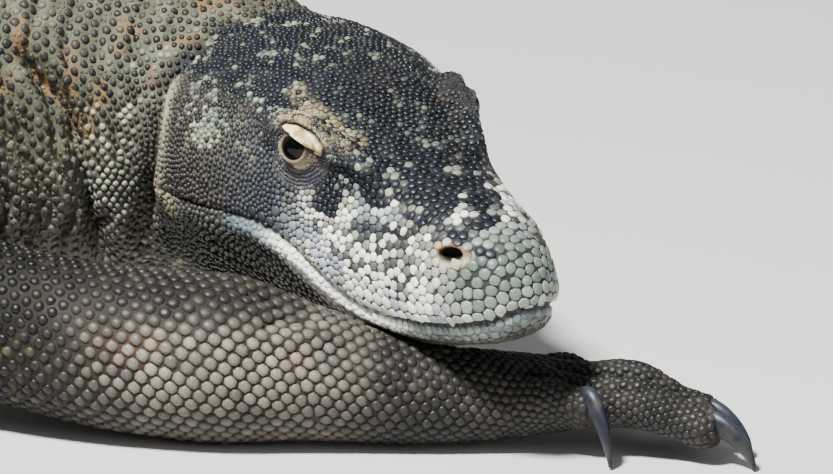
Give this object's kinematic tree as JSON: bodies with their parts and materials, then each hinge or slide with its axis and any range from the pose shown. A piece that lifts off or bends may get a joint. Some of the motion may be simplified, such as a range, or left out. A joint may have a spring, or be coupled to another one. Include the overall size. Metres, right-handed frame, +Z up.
{
  "type": "komodo dragon",
  "caption": "Life-size Komodo dragon lying flat with its head turned to its right and its chin resting on its right forearm, tail laid out behind in a gentle curve",
  "frame": {"origin": "on the floor under the middle of the belly", "axes": "+Z up, +X to the animal's front along its trunk, +Y to its left"},
  "size_m": [2.2666, 0.8887, 0.1915],
  "materials": {
    "face_hide": "small domed scales, blue-black on the crown, cream on the snout",
    "hide": "dark oval beads in olive-tan skin",
    "limb_hide": "glossy grey-brown domed beads in rows",
    "eye": "wet and glossy, dark brown",
    "claw": "satin blue-grey horn"
  },
  "bodies": {
    "root": {"head": "face_hide", "jaw": "face_hide", "eye_r": "eye", "eye_l": "eye", "neck": "hide", "trunk": "hide", "tail_1": "hide", "tail_2": "hide", "tail_3": "hide", "tail_4": "hide", "upper_arm_r": "limb_hide", "forearm_r": "limb_hide", "hand_r": "limb_hide", "upper_arm_l": "limb_hide", "forearm_l": "limb_hide", "hand_l": "limb_hide", "thigh_r": "limb_hide", "shin_r": "limb_hide", "foot_r": "limb_hide", "thigh_l": "limb_hide", "shin_l": "limb_hide", "foot_l": "limb_hide", "claw_hand_r_1": "claw", "claw_hand_r_2": "claw", "claw_hand_r_3": "claw", "claw_hand_r_4": "claw", "claw_hand_r_5": "claw", "claw_hand_l_1": "claw", "claw_hand_l_2": "claw", "claw_hand_l_3": "claw", "claw_hand_l_4": "claw", "claw_hand_l_5": "claw", "claw_foot_r_1": "claw", "claw_foot_r_2": "claw", "claw_foot_r_3": "claw", "claw_foot_r_4": "claw", "claw_foot_r_5": "claw", "claw_foot_l_1": "claw", "claw_foot_l_2": "claw", "claw_foot_l_3": "claw", "claw_foot_l_4": "claw", "claw_foot_l_5": "claw"}
  },
  "joints": []
}
